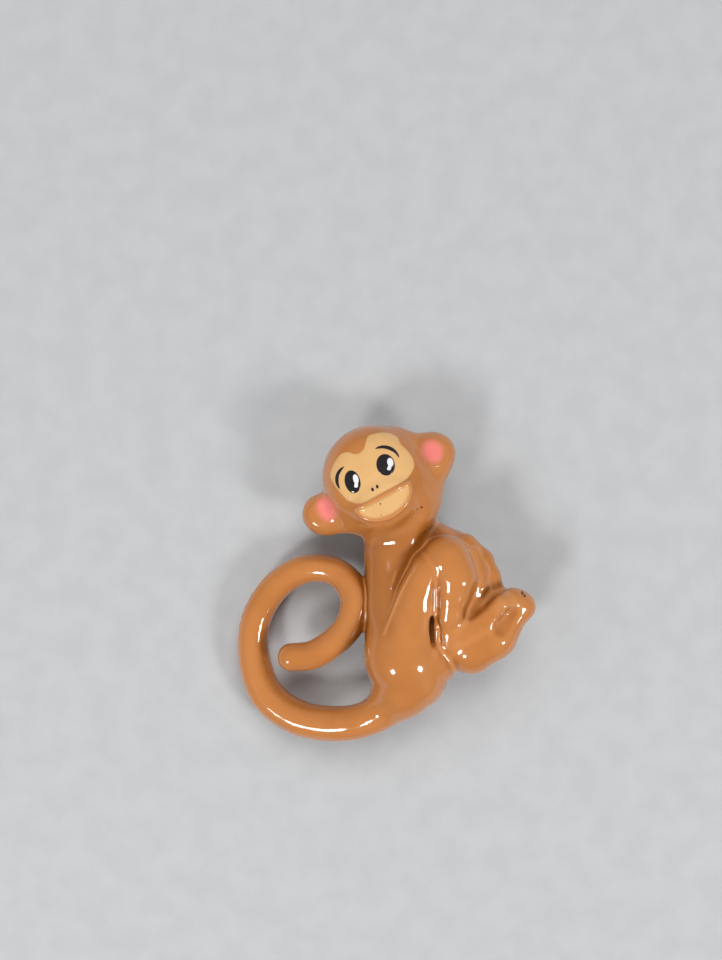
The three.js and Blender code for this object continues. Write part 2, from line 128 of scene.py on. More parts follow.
# the head's own frame: u across the face, v up it, w out of it
SKULL = ((0, 0, 0.3), (6.15, 6.3, 5.5))
FACE_FLAT, FACE_ROUNDING = 5.3, 2.2
CROWN = ((2.4, 1.1, -0.6), (4.1, 4.1, 4.7))
MUZZLE = ((-0.2, -2.9, 1.5), (4.5, 3.4, 4.7))
MUZZLE_FACE = 5.3  # height of the muzzle's flattened front
EARS = {"right": (7.65, -0.7), "left": (-7.4, -0.8)}
EAR_W, EAR_RADII = -0.7, (2.42, 2.42, 2.0)  # each ear is an ellipsoid, dished by a sphere
EAR_DISH_RADIUS, EAR_DISH_DEPTH = 4.2, 0.42
EAR_ROOT = [(4.2, 2.2, 0.0, 1.8), (6.9, -0.2, -0.5, 2.0)]
RIGHT_CHEEK = [(5.1, 13.2, 6.4, 2.0), (3.0, 10.0, 6.9, 3.55)]
JAW = [(-6.0, 7.8, 6.3, 1.5), (-1.6, 8.4, 7.0, 2.5)]
MOUTH_U, MOUTH_V = -0.28, -2.12
MOUTH_RADII = (3.3, 2.45)
MUZZLE_FILL_SHARE = (0.965, 0.88)  # how far the beige fill reaches out to the lip, across and down
LIP_RADIUS, LIP_LIFT = 0.25, 0.07

# ------------------------------------------------------------------ distance fields


def smooth_min(a, b, k):
    """The nearer of two distances, with the corner between them filled over a length k."""
    h = np.maximum(k - np.abs(a - b), 0) / k
    return np.minimum(a, b) - h * h * k / 4


def smooth_max(a, b, k):
    """The farther of two distances, with the corner rounded over a length k."""
    return -smooth_min(-a, -b, k)


def limb(p, start, end):
    """Distance to a round-ended taper between two beads."""
    a, ra = np.array(start[:3]), start[3]
    b, rb = np.array(end[:3]), end[3]
    along = b - a
    length2 = along @ along
    taper = ra - rb
    a2 = length2 - taper * taper
    pa = p - a
    y = pa @ along
    z = y - length2
    across = pa * length2 - np.outer(y, along)
    x2 = np.einsum("ij,ij->i", across, across)
    y2, z2 = y * y * length2, z * z * length2
    k = np.sign(taper) * taper * taper * x2
    side = (np.sqrt(x2 * a2 / length2) + y * taper) / length2 - ra
    past_end = np.sqrt(x2 + z2) / length2 - rb
    before_start = np.sqrt(x2 + y2) / length2 - ra
    distance = np.where(np.sign(y) * a2 * y2 < k, before_start, side)
    return np.where(np.sign(z) * a2 * z2 > k, past_end, distance)


def chain(p, beads, blend=0.0):
    """Distance to a row of beads, each joined to the next."""
    distance = limb(p, beads[0], beads[1])
    for start, end in zip(beads[1:], beads[2:]):
        following = limb(p, start, end)
        distance = smooth_min(distance, following, blend) if blend else np.minimum(distance, following)
    return distance


def ellipsoid(p, form):
    """Distance to an ellipsoid given by its centre and radii; exact on its surface, close to it nearby."""
    centre, radii = np.array(form[0]), np.array(form[1])
    q = (p - centre) / radii
    near = np.linalg.norm(q, axis=1)
    return near * (near - 1) / np.maximum(np.linalg.norm(q / radii, axis=1), 1e-9)


def block(p, low, high, rounding):
    """Distance to a box with rounded edges."""
    low, high = np.array(low, float), np.array(high, float)
    q = np.abs(p - (low + high) / 2) - (high - low) / 2 + rounding
    return np.linalg.norm(np.maximum(q, 0), axis=1) + np.minimum(q.max(axis=1), 0) - rounding


def rod(p, axis, centre, radius, start, end, rounding):
    """Distance to a cylinder along a row axis, with rounded rims."""
    others = [i for i in range(3) if i != axis]
    across = p[:, others] - np.asarray(centre, float)[others]
    out = np.hypot(across[:, 0], across[:, 1]) - radius + rounding
    lengthwise = np.abs(p[:, axis] - (start + end) / 2) - (end - start) / 2 + rounding
    q = np.stack([out, lengthwise], axis=1)
    return np.linalg.norm(np.maximum(q, 0), axis=1) + np.minimum(q.max(axis=1), 0) - rounding


def catmull_rom(a, b, c, d, t):
    """The curve between b and c, at a share t of the way."""
    return 0.5 * (2 * b + (c - a) * t + (2 * a - 5 * b + 4 * c - d) * t**2 + (3 * b - a - 3 * c + d) * t**3)


def smooth_path(beads, pieces):
    """A Catmull-Rom curve through beads, with the radius carried along it."""
    beads = np.array(beads, float)
    padded = np.vstack([2 * beads[0] - beads[1], beads, 2 * beads[-1] - beads[-2]])
    result = []
    for place in np.linspace(0, len(beads) - 1, pieces + 1):
        i = min(int(place), len(beads) - 2)
        result.append(catmull_rom(*padded[i : i + 4], place - i))
    return [tuple(bead) for bead in result]


TAIL_PATH = smooth_path(TAIL, 56)


def to_head(p):
    """Figure coordinates to the head's own: u across the face, v up it, w out of it."""
    c, s = math.cos(HEAD_TILT), math.sin(HEAD_TILT)
    d = p - HEAD_CENTRE
    return np.stack([c * d[:, 0] + s * d[:, 1], -s * d[:, 0] + c * d[:, 1], d[:, 2]], axis=1)


def from_head(q):
    """The head's own coordinates back to the figure's."""
    c, s = math.cos(HEAD_TILT), math.sin(HEAD_TILT)
    q = np.asarray(q, float)
    return np.stack([c * q[:, 0] - s * q[:, 1], s * q[:, 0] + c * q[:, 1], q[:, 2]], axis=1) + HEAD_CENTRE


def descend(field, plan, start, steps=40):
    """Points dropped along Z from a height onto a field's surface."""
    p = np.column_stack([plan, np.full(len(plan), float(start))])
    for _ in range(steps):
        p[:, 2] -= 0.85 * field(p)
    return p


def face_forms(q):
    """The head without its ears, in its own frame."""
    head = smooth_min(ellipsoid(q, SKULL), ellipsoid(q, CROWN), 0.3)
    head = smooth_max(head, q[:, 2] - FACE_FLAT, FACE_ROUNDING)
    muzzle = smooth_max(ellipsoid(q, MUZZLE), (q[:, 2] - 0.1 * (q[:, 1] + 3) - MUZZLE_FACE) / 1.005, 0.7)
    return smooth_min(head, muzzle, 0.6)


def mouth_outline(count):
    """The mouth line from left to right, then the half oval under it back to the left."""
    ru, rv = MOUTH_RADII
    line = [(MOUTH_U + ru * t, MOUTH_V) for t in np.linspace(-1, 1, count)]
    angles = np.linspace(0, -math.pi, 2 * count)
    arc = [(MOUTH_U + ru * math.cos(a), MOUTH_V + rv * math.sin(a)) for a in angles]
    return np.array(line + arc[1:-1])


def lip_beads():
    """The raised lip round the muzzle, laid on the face."""
    places = descend(face_forms, mouth_outline(14), 8.0)
    return [(u, v, w + LIP_LIFT, LIP_RADIUS) for u, v, w in np.vstack([places, places[:1]])]


LIP = lip_beads()


def head_field(p):
    """Skull, muzzle, dished ears and the lip round the mouth."""
    q = to_head(p)
    head = smooth_min(face_forms(q), limb(q, *EAR_ROOT), 0.8)
    for u, v in EARS.values():
        lobe = ellipsoid(q, ((u, v, EAR_W), EAR_RADII))
        dish_w = EAR_W + EAR_RADII[2] - EAR_DISH_DEPTH + EAR_DISH_RADIUS
        dish = np.linalg.norm(q - np.array([u * 0.97, v, dish_w]), axis=1) - EAR_DISH_RADIUS
        head = smooth_min(head, smooth_max(lobe, -dish, 0.5), 1.2)
    near_face = (np.abs(q[:, 0]) < 5) & (np.abs(q[:, 1] + 3) < 4) & (q[:, 2] > 1.5)
    if near_face.any():
        head[near_face] = smooth_min(head[near_face], chain(q[near_face], LIP), 0.2)
    return head


def unevenness(p):
    """The slow waviness of poured enamel, in millimetres."""
    x, y, z = p[:, 0], p[:, 1], p[:, 2]
    return 0.014 * np.sin(1.7 * x + 0.8 * y + 1.3) * np.sin(1.1 * y - 0.9 * z + 0.4)


def limb_forms(p):
    """Body, arms and legs, before the fine folds.

    The last number of each join is its width in millimetres: small at a sharp crease, large where forms flow.
    """
    body = chain(p, TORSO, 0.6)
    body = smooth_min(body, chain(p, RUMP), 1.6)
    body = smooth_min(body, chain(p, SHOULDER, 0.8), 1.2)
    body = smooth_min(body, chain(p, NECK), 1.4)
    body = smooth_min(body, limb(p, *NECK_ROLL), 1.0)
    thigh = smooth_min(chain(p, THIGH_CREST, 0.8), limb(p, *THIGH_FLANK), 1.2)
    body = smooth_min(body, thigh, 0.3)
    legs = smooth_min(chain(p, KNEE_AND_SHIN, 0.9), limb(p, *SHIN_FLANK), 1.2)
    far = smooth_min(chain(p, FAR_ARM, 0.5), limb(p, *BEHIND_SHIN), 1.2)
    far = smooth_min(far, chain(p, FAR_SHIN, 0.5), 0.5)
    body = smooth_min(body, smooth_min(legs, far, 0.9), 0.5)
    foot = smooth_min(chain(p, FOOT, 1.0), limb(p, *TOES), 0.8)
    foot = smooth_min(foot, chain(p, KNUCKLES, 0.6), 1.1)
    return smooth_min(body, foot, 0.9)


def fold_beads(line, thickest):
    """A thin ridge laid on the body along a line, thickest in its middle."""
    places = descend(limb_forms, smooth_plan(line, 12), 14.0)
    radii = thickest * np.sin(np.linspace(0.15, math.pi - 0.15, len(places))) ** 0.5
    return [(x, y, z, radius) for (x, y, z), radius in zip(places, radii)]


def smooth_plan(line, pieces):
    """A smooth curve in X and Y through a few places."""
    beads = [(x, y, 0, 0) for x, y in line]
    return np.array(smooth_path(beads, pieces))[:, :2]


FOLDS = [fold_beads(THIGH_EDGE, 0.17), fold_beads(TORSO_FOLD, 0.09)]


def casting_field(p):
    """The whole casting: body, slot, folds, head, flat back with its pocket and bosses, and tail."""
    body = limb_forms(p)
    leaning = p + np.outer(p[:, 1] - SLOT_BEHIND_KNEE[0][1], (SLOT_LEAN, 0, 0))
    body = smooth_max(body, -ellipsoid(leaning, SLOT_BEHIND_KNEE), 0.5)
    body = smooth_min(body, chain(p, SLOT_FOLD, 0.2), 0.25)
    body = smooth_max(body, -limb(p, *ARM_CREASE), 1.0)
    body = smooth_max(body, -limb(p, *SOLE_PIT), 1.2)
    near_folds = (np.abs(p[:, 0] - 1.3) < 3) & (np.abs(p[:, 1] + 1.8) < 5) & (p[:, 2] > 6)
    if near_folds.any():
        for fold in FOLDS:
            body[near_folds] = smooth_min(body[near_folds], chain(p[near_folds], fold), 0.3)
    head = smooth_min(head_field(p), smooth_min(limb(p, *RIGHT_CHEEK), limb(p, *JAW), 0.8), 1.8)
    body = smooth_min(body, head, 1.4)
    body = smooth_max(body, BACK_Z - p[:, 2], 0.5)
    body = smooth_max(body, -chain(p, POCKET, 0.5), 0.5)
    for x in RIVETS.values():
        boss = rod(p, 2, (x, PIN_Y, 0), 1.2, BACK_Z + 0.02, BACK_Z + 3, 0.1)
        body = smooth_min(body, boss, 0.3)
    near_root = np.exp(-((p[:, 0] - 0.5) ** 2 + (p[:, 1] + 13.5) ** 2) / 18)
    return smooth_min(body, chain(p, TAIL_PATH), 0.35 + 2.6 * near_root) + unevenness(p)


# ------------------------------------------------------------------ from a field to a mesh


def evaluate(field, points, batch=200000):
    """A field at many points, a batch at a time to spare memory."""
    return np.concatenate([field(points[i : i + batch]) for i in range(0, len(points), batch)])


def gradient(field, points, step=0.01):
    """The field's slope along X, Y and Z, by central differences."""
    slopes = []
    for axis in range(3):
        shift = np.zeros(3)
        shift[axis] = step
        slopes.append(evaluate(field, points + shift) - evaluate(field, points - shift))
    return np.stack(slopes, axis=1) / (2 * step)


def normals_of(field, points):
    """Unit outward directions at points near the surface."""
    slope = gradient(field, points)
    return slope / np.maximum(np.linalg.norm(slope, axis=1, keepdims=True), 1e-9)


def sampled(field, low, pitch, counts):
    """The field on a grid: exact near the surface, and the coarse value far from it."""
    coarse_step = 4
    axes = [np.arange(n) for n in counts]
    coarse_axes = [np.arange(0, n + coarse_step, coarse_step) for n in counts]
    grid = np.stack(np.meshgrid(*coarse_axes, indexing="ij"), -1).reshape(-1, 3)
    coarse = evaluate(field, low + grid * pitch).reshape([len(a) for a in coarse_axes])
    nearest = []
    for fine, wide in zip(axes, coarse_axes):
        nearest.append(np.minimum((fine + coarse_step // 2) // coarse_step, len(wide) - 1))
    values = coarse[np.ix_(*nearest)].astype(np.float64)
    band = np.abs(values) < pitch * coarse_step * 1.6
    places = np.argwhere(band)
    values[band] = evaluate(field, low + places * pitch)
    return values


def surface_nets(values):
    """One vertex in each cell that the surface crosses, and a quad round each grid edge that it cuts."""
    inside = values < 0
    corners = [(i, j, k) for i in (0, 1) for j in (0, 1) for k in (0, 1)]
    nx, ny, nz = values.shape

    def at(block_values, corner):
        i, j, k = corner
        return block_values[i : nx - 1 + i, j : ny - 1 + j, k : nz - 1 + k]

    count = sum(at(inside, c).astype(int) for c in corners)
    active = (count > 0) & (count < 8)
    number = np.full(active.shape, -1)
    number[active] = np.arange(active.sum())
    cell = np.argwhere(active)
    total = np.zeros((len(cell), 3))
    hits = np.zeros(len(cell))
    for a in corners:
        for axis in range(3):
            if a[axis]:
                continue
            b = tuple(a[n] + (n == axis) for n in range(3))
            va, vb = at(values, a)[active], at(values, b)[active]
            crossed = (va < 0) != (vb < 0)
            t = np.where(crossed, va / np.where(crossed, va - vb, 1), 0)
            point = np.tile(np.array(a, float), (len(cell), 1))
            point[:, axis] += t
            total += point * crossed[:, None]
            hits += crossed
    vertices = cell + total / hits[:, None]
    quads = []
    for axis in range(3):
        u, v = [(1, 2), (2, 0), (0, 1)][axis]
        inner = [slice(1, -1)] * 3
        inner[axis] = slice(0, -1)
        shifted = list(inner)
        shifted[axis] = slice(1, None)
        here, there = inside[tuple(inner)], inside[tuple(shifted)]
        for outward, cut in ((True, here & ~there), (False, ~here & there)):
            at_edge = np.argwhere(cut) + np.array([0 if n == axis else 1 for n in range(3)])
            du, dv = np.eye(3, dtype=int)[u], np.eye(3, dtype=int)[v]
            ring = [at_edge - du - dv, at_edge - dv, at_edge, at_edge - du]
            ring = [number[tuple(r.T)] for r in ring]
            quads.append(np.stack(ring if outward else ring[::-1], axis=1))
    return vertices, np.concatenate(quads)


def mesh_object(name, points, faces):
    """A Blender object from points in the figure's frame."""
    mesh = bpy.data.meshes.new(name)
    mesh.from_pydata(to_row(points).tolist(), [], [list(map(int, f)) for f in faces])
    mesh.validate()
    mesh.polygons.foreach_set("use_smooth", [True] * len(mesh.polygons))
    made = bpy.data.objects.new(name, mesh)
    bpy.context.scene.collection.objects.link(made)
    return made


def sculpt(name, field, low, high, pitch):
    """Meshes a field between two corners, with every vertex settled on the true surface."""
    low = np.array(low, float) - 2.5 * pitch
    counts = np.ceil((np.array(high, float) + 2.5 * pitch - low) / pitch).astype(int) + 1
    vertices, quads = surface_nets(sampled(field, low, pitch, counts))
    points = low + vertices * pitch
    for _ in range(2):
        slope = gradient(field, points)
        steepness = np.maximum(np.einsum("ij,ij->i", slope, slope), 0.2)
        step = (evaluate(field, points) / steepness)[:, None] * slope
        points = points - np.clip(step, -pitch / 2, pitch / 2)
    made = mesh_object(name, points, quads)
    normals = normals_of(field, points)
    made.data.normals_split_custom_set_from_vertices(normals.tolist())
    return made, points, normals


# ------------------------------------------------------------------ materials


def node_material(name):
    """A new material, its node tree and its shader."""
    material = bpy.data.materials.new(name)
    material.use_nodes = True
    tree = material.node_tree
    return material, tree, tree.nodes["Principled BSDF"]


def noise(tree, position, scale, detail=2.0, distortion=0.0):
    """A noise value near 0.5; the scale is in waves over a metre."""
    node = tree.nodes.new("ShaderNodeTexNoise")
    node.inputs["Scale"].default_value = scale
    node.inputs["Detail"].default_value = detail
    node.inputs["Distortion"].default_value = distortion
    tree.links.new(position, node.inputs["Vector"])
    return node.outputs["Fac"]


def remap(tree, value, low, high, new_low, new_high):
    """A smooth step of a value from one range to another, clamped at its ends."""
    node = tree.nodes.new("ShaderNodeMapRange")
    node.interpolation_type = "SMOOTHSTEP"
    for key, number in (("From Min", low), ("From Max", high), ("To Min", new_low), ("To Max", new_high)):
        node.inputs[key].default_value = number
    tree.links.new(value, node.inputs["Value"])
    return node.outputs["Result"]


def blend_colour(tree, factor, first, second):
    """Mixes two colours, each a socket or an (r, g, b)."""
    node = tree.nodes.new("ShaderNodeMix")
    node.data_type = "RGBA"
    for key, colour in ((6, first), (7, second)):
        if isinstance(colour, tuple):
            node.inputs[key].default_value = (*colour, 1)
        else:
            tree.links.new(colour, node.inputs[key])
    tree.links.new(factor, node.inputs[0])
    return node.outputs[2]


def combine(tree, operation, first, second):
    """One arithmetic step on two values, each a socket or a number."""
    node = tree.nodes.new("ShaderNodeMath")
    node.operation = operation
    for socket, value in zip(node.inputs, (first, second)):
        if isinstance(value, (int, float)):
            socket.default_value = value
        else:
            tree.links.new(value, socket)
    return node.outputs["Value"]


def bump(tree, height, distance, strength=1.0, under=None):
    """A fine relief, on top of another one where that is given."""
    node = tree.nodes.new("ShaderNodeBump")
    node.inputs["Strength"].default_value = strength
    node.inputs["Distance"].default_value = distance
    tree.links.new(height, node.inputs["Height"])
    if under is not None:
        tree.links.new(under, node.inputs["Normal"])
    return node.outputs["Normal"]


def attribute(tree, name):
    """A value that the mesh carries at its vertices."""
    node = tree.nodes.new("ShaderNodeAttribute")
    node.attribute_name = name
    return node.outputs["Fac"]


def spot(tree, position, place, radius):
    """1 inside a small ragged mark round a place in the figure's frame, 0 outside it, at any height."""
    flat = tree.nodes.new("ShaderNodeVectorMath")
    flat.operation = "MULTIPLY"
    tree.links.new(position, flat.inputs[0])
    flat.inputs[1].default_value = (1, 1, 0)
    node = tree.nodes.new("ShaderNodeVectorMath")
    node.operation = "DISTANCE"
    tree.links.new(flat.outputs["Vector"], node.inputs[0])
    x, y, _ = to_row([place])[0]
    node.inputs[1].default_value = (x, y, 0)
    wobble = combine(tree, "MULTIPLY", noise(tree, position, 2500), 0.6 * radius * MM)
    reach = combine(tree, "ADD", node.outputs["Value"], wobble)
    return remap(tree, reach, radius * MM, radius * MM * 1.5, 1, 0)


def enamel_finish(tree, shader, position, colour, roughness):
    """What every enamel shares: a glossy coat with faint orange peel and a few pinholes."""
    tree.links.new(colour, shader.inputs["Base Color"])
    shader.inputs["Specular IOR Level"].default_value = 0.15
    rough = remap(tree, noise(tree, position, 900, 3), 0.3, 0.7, roughness * 0.7, roughness * 1.4)
    tree.links.new(rough, shader.inputs["Roughness"])
    shader.inputs["IOR"].default_value = 1.52
    shader.inputs["Coat Weight"].default_value = 1.0
    shader.inputs["Coat Roughness"].default_value = 0.03
    shader.inputs["Coat IOR"].default_value = 1.5
    cells = tree.nodes.new("ShaderNodeTexVoronoi")
    cells.inputs["Scale"].default_value = 420
    cells.inputs["Randomness"].default_value = 1.0
    tree.links.new(position, cells.inputs["Vector"])
    pits = remap(tree, cells.outputs["Distance"], 0.03, 0.07, 0, 1)
    peel = bump(tree, noise(tree, position, 520, 1), 0.003 * MM)
    surface = bump(tree, pits, 0.012 * MM, 1.0, peel)
    tree.links.new(surface, shader.inputs["Normal"])
    tree.links.new(surface, shader.inputs["Coat Normal"])


def position_of(tree):
    return tree.nodes.new("ShaderNodeTexCoord").outputs["Object"]


# linear colours
BROWN_LIGHT, BROWN_DARK = (0.545, 0.205, 0.054), (0.50, 0.18, 0.042)
# the darkest brown is painted shade for creases, torso and neck, partly deeper pooled enamel
BROWN_POOLED_AND_SHADED, BROWN_THIN, BROWN_FADE = (0.26, 0.075, 0.008), (0.66, 0.27, 0.09), (0.52, 0.197, 0.055)
BEIGE_LIGHT, BEIGE_DARK, BEIGE_RIM = (0.76, 0.45, 0.185), (0.72, 0.415, 0.16), (0.60, 0.27, 0.085)
PINK_LIGHT, PINK_DARK = (0.90, 0.245, 0.215), (0.84, 0.215, 0.18)
BLACK_LIGHT, BLACK_DARK = (0.02, 0.014, 0.018), (0.012, 0.009, 0.012)
WHITE_LIGHT, WHITE_DARK = (0.86, 0.85, 0.86), (0.78, 0.77, 0.79)
NICKEL_LIGHT, NICKEL_DARK = (0.74, 0.72, 0.68), (0.60, 0.575, 0.53)
ZINC_LIGHT, ZINC_DARK = (0.52, 0.52, 0.53), (0.40, 0.395, 0.39)
FLOOR_LIGHT, FLOOR_DARK = (0.50, 0.505, 0.51), (0.47, 0.475, 0.48)
CHIP, SPECK = (0.05, 0.02, 0.008), (0.14, 0.06, 0.03)
ENAMEL_ROUGHNESS = 0.16

# dark marks in the enamel, each a place and a radius in millimetres
TOE_CHIPS = [((15.7, -0.75, 9.4), 0.2), ((15.95, -1.05, 9.4), 0.16)]
CHEEK_CHIPS = [((3.95, 9.2, 10.6), 0.12), ((3.4, 9.0, 10.9), 0.09)]
MUZZLE_SPECKS = [((-0.76, 9.65, 12.5), 0.11), ((-0.66, 8.4, 12.4), 0.07)]


def brown_enamel():
    """Caramel brown: darker in creases and over torso and neck, which is painted shade there and partly
    deeper pooled enamel; paler where it thins over crests.
    """
    material, tree, shader = node_material("brown_enamel")
    position = position_of(tree)
    cloud = remap(tree, noise(tree, position, 160, 3, 0.4), 0.35, 0.65, 0, 1)
    colour = blend_colour(tree, cloud, BROWN_LIGHT, BROWN_DARK)
    # painted shade: darker brown where surfaces crowd each other and over torso and neck, partly deeper
    # pooled enamel
    colour = blend_colour(tree, attribute(tree, "pool_and_shade"), colour, BROWN_POOLED_AND_SHADED)
    colour = blend_colour(tree, attribute(tree, "crest"), colour, BROWN_THIN)
    for place, radius in TOE_CHIPS + CHEEK_CHIPS:
        colour = blend_colour(tree, spot(tree, position, place, radius), colour, CHIP)
    enamel_finish(tree, shader, position, colour, ENAMEL_ROUGHNESS)
    return material


def beige_enamel():
    """The beige of mask and muzzle, browner along its rim."""
    material, tree, shader = node_material("beige_enamel")
    position = position_of(tree)
    cloud = remap(tree, noise(tree, position, 220, 3, 0.6), 0.3, 0.7, 0, 1)
    colour = blend_colour(tree, cloud, BEIGE_LIGHT, BEIGE_DARK)
    rim = remap(tree, attribute(tree, "rim"), 0.0, 1.0, 0.75, 0)
    colour = blend_colour(tree, rim, colour, BEIGE_RIM)
    for place, radius in MUZZLE_SPECKS:
        colour = blend_colour(tree, spot(tree, position, place, radius), colour, SPECK)
    enamel_finish(tree, shader, position, colour, ENAMEL_ROUGHNESS)
    return material


def pink_enamel():
    """The pink of the ears, sprayed, so that it fades into the brown."""
    material, tree, shader = node_material("pink_enamel")
    position = position_of(tree)
    cloud = remap(tree, noise(tree, position, 260, 3, 0.6), 0.3, 0.7, 0, 1)
    colour = blend_colour(tree, cloud, PINK_LIGHT, PINK_DARK)
    fade = remap(tree, attribute(tree, "rim"), 0.0, 1.0, 1, 0)
    colour = blend_colour(tree, fade, colour, BROWN_FADE)
    enamel_finish(tree, shader, position, colour, ENAMEL_ROUGHNESS)
    return material


def plain_enamel(name, first, second, roughness):
    """One clouded colour under the shared finish."""
    material, tree, shader = node_material(name)
    position = position_of(tree)
    cloud = remap(tree, noise(tree, position, 700, 3, 0.5), 0.3, 0.7, 0, 1)
    enamel_finish(tree, shader, position, blend_colour(tree, cloud, first, second), roughness)
    return material


def metal(name, light, dark, roughness, grain_scale, grain_depth):
    """Bare or plated metal: blotchy tone, fine grain and crossing hairline scratches."""
    material, tree, shader = node_material(name)
    position = position_of(tree)
    blotch = remap(tree, noise(tree, position, 350, 4, 0.8), 0.35, 0.7, 0, 1)
    tree.links.new(blend_colour(tree, blotch, light, dark), shader.inputs["Base Color"])
    shader.inputs["Metallic"].default_value = 1.0
    rough = remap(tree, noise(tree, position, 1400, 5), 0.3, 0.7, roughness * 0.75, roughness * 1.35)
    tree.links.new(rough, shader.inputs["Roughness"])
    surface = bump(tree, noise(tree, position, grain_scale, 5), grain_depth * MM)
    for turn, squeeze in ((0.5, 40), (2.1, 55)):
        mapping = tree.nodes.new("ShaderNodeMapping")
        mapping.inputs["Rotation"].default_value = (0.3, 0.2, turn)
        mapping.inputs["Scale"].default_value = (1, squeeze, 1)
        tree.links.new(position, mapping.inputs["Vector"])
        scratch = remap(tree, noise(tree, mapping.outputs["Vector"], 130, 2), 0.66, 0.72, 1, 0)
        surface = bump(tree, scratch, 0.004 * MM, 0.7, surface)
    tree.links.new(surface, shader.inputs["Normal"])
    return material


BROWN = brown_enamel()
BEIGE = beige_enamel()
PINK = pink_enamel()
BLACK = plain_enamel("black_enamel", BLACK_DARK, BLACK_LIGHT, 0.12)
WHITE = plain_enamel("white_enamel", WHITE_LIGHT, WHITE_DARK, 0.14)
NICKEL = metal("nickel_plate", NICKEL_LIGHT, NICKEL_DARK, 0.24, 2600, 0.003)
ZINC = metal("bare_zinc", ZINC_LIGHT, ZINC_DARK, 0.42, 1500, 0.012)


# ------------------------------------------------------------------ the casting

CASTING_LOW, CASTING_HIGH, CASTING_PITCH = (-18.6, -19.6, 0), (18, 19.4, 13.4), 0.16
NEAR, WIDE, FAR = 0.9, 2.2, 4.5  # how far off the surface to look for others that crowd it
# the trunk's deep tone is painted shade, partly deeper pooled enamel
TRUNK_START, TRUNK_END = (-8.5, -3.5), (6.0, 9.0)  # where in Y the trunk's deep tone fades in and out

def set_attribute(made, name, values):
    layer = made.data.attributes.new(name, "FLOAT", "POINT")
    layer.data.foreach_set("value", np.asarray(values, np.float32))


def smoothstep(values, low, high):
    t = np.clip((values - low) / (high - low), 0, 1)
    return t * t * (3 - 2 * t)


def pooling_and_shade(points, normals):
    """How much painted shade to lay on the brown, 0 to 1, partly also deeper pooled enamel: most where other
    surfaces crowd it, and on torso and neck.
    """

    def crowding(reach):
        return 1 - evaluate(casting_field, points + normals * reach) / reach

    pool_and_shade = 0.85 * smoothstep(crowding(NEAR), 0.1, 0.7)
    pool_and_shade = pool_and_shade + 0.35 * smoothstep(crowding(WIDE), 0.15, 0.8)
    pool_and_shade = pool_and_shade + 0.35 * smoothstep(crowding(FAR), 0.2, 0.8)
    # painted shade over torso and neck, away from the tail
    trunk = evaluate(lambda p: np.minimum(chain(p, TORSO), chain(p, NECK)), points)
    y = points[:, 1]
    over_rump = smoothstep(y, *TRUNK_START)
    under_head = 1 - smoothstep(y, *TRUNK_END)
    on_tail = evaluate(lambda p: chain(p, TAIL_PATH), points) < 0.25
    pool_and_shade = pool_and_shade + 0.42 * (1 - smoothstep(trunk, 0.2, 1.1)) * over_rump * under_head * ~on_tail
    return np.clip(pool_and_shade, 0, 1)


def bare_faces(mesh):
    """Which faces have no enamel: the flat back and the inside of its pocket."""
    middles = np.array([face.center for face in mesh.polygons]) / MM - ORIGIN
    facing = np.array([face.normal for face in mesh.polygons])
    height = middles[:, 2]
    flat_back = (facing[:, 2] < -0.95) & (np.abs(height - BACK_Z) < 0.08)
    in_pocket = (evaluate(lambda p: chain(p, POCKET), middles) < 0.45) & (height < BACK_Z + 3.2)
    return flat_back | in_pocket


def build_casting():
    casting, points, normals = sculpt("monkey_body", casting_field, CASTING_LOW, CASTING_HIGH, CASTING_PITCH)
    depth = -evaluate(casting_field, points - normals * NEAR) / NEAR
    # painted shade in creases and on the trunk, carried as a vertex value for the brown
    set_attribute(casting, "pool_and_shade", pooling_and_shade(points, normals))
    set_attribute(casting, "crest", 0.6 * smoothstep(1 - depth, 0.05, 0.4))
    casting.data.materials.append(BROWN)
    casting.data.materials.append(ZINC)
    casting.data.polygons.foreach_set("material_index", bare_faces(casting.data).astype(int))
    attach(casting, "brooch")
    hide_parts("monkey_casting")


build_casting()

# ------------------------------------------------------------------ enamel draped over the head


UNDERSIDE = 0.08  # how far painted pieces reach into the casting


def settle(uv):
    """Points on the casting's front at places given on the face, with their normals."""
    p = from_head(np.column_stack([uv, np.zeros(len(uv))]))
    p = descend(casting_field, p[:, :2], HEAD_CENTRE[2] + 7.5)
    return p, normals_of(casting_field, p)


def drape(name, node, outline, centre, lift, edge, material, slot_name, base=0.0):
    """A pad over the head, domed towards its rim, with an underside a little way into the surface."""
    outline, centre = np.asarray(outline, float), np.asarray(centre, float)
    around = len(outline)
    spokes = outline - centre
    top_shares = 1 - (1 - np.arange(1, 21) / 20) ** 2
    under_shares = (1.0, 0.9, 0.7, 0.45, 0.2)
    shares = [*top_shares, *under_shares]
    loops = np.concatenate([centre + spokes * share for share in shares])
    uv = np.vstack([centre, loops, centre])
    surface, normals = settle(uv)
    inward = np.concatenate([(1 - share) * np.linalg.norm(spokes, axis=1) for share in shares])
    rim = np.concatenate([[1.0], np.clip(inward / edge, 0, 1), [0.0]])
    height = base + lift * np.sqrt(1 - (1 - rim) ** 2)
    height[1 + len(top_shares) * around :] = -UNDERSIDE
    rim[1 + len(top_shares) * around :] = 0
    points = surface + normals * height[:, None]
    faces = []
    for j in range(around):
        following = (j + 1) % around
        faces.append((0, 1 + j, 1 + following))
        for ring in range(len(shares) - 1):
            a = 1 + ring * around
            faces.append((a + j, a + around + j, a + around + following, a + following))
        last = 1 + (len(shares) - 1) * around
        faces.append((last + following, last + j, len(points) - 1))
    made = mesh_object(name, points, faces)
    set_attribute(made, "rim", rim)
    made.data.materials.append(material)
    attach(made, "brooch")
    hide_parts(node)


def spline(points, steps):
    """A closed Catmull-Rom curve through points."""
    points = np.array(points, float)
    result = []
    for i in range(len(points)):
        corners = [points[(i + n) % len(points)] for n in (-1, 0, 1, 2)]
        for t in np.arange(steps) / steps:
            result.append(catmull_rom(*corners, t))
    return np.array(result)


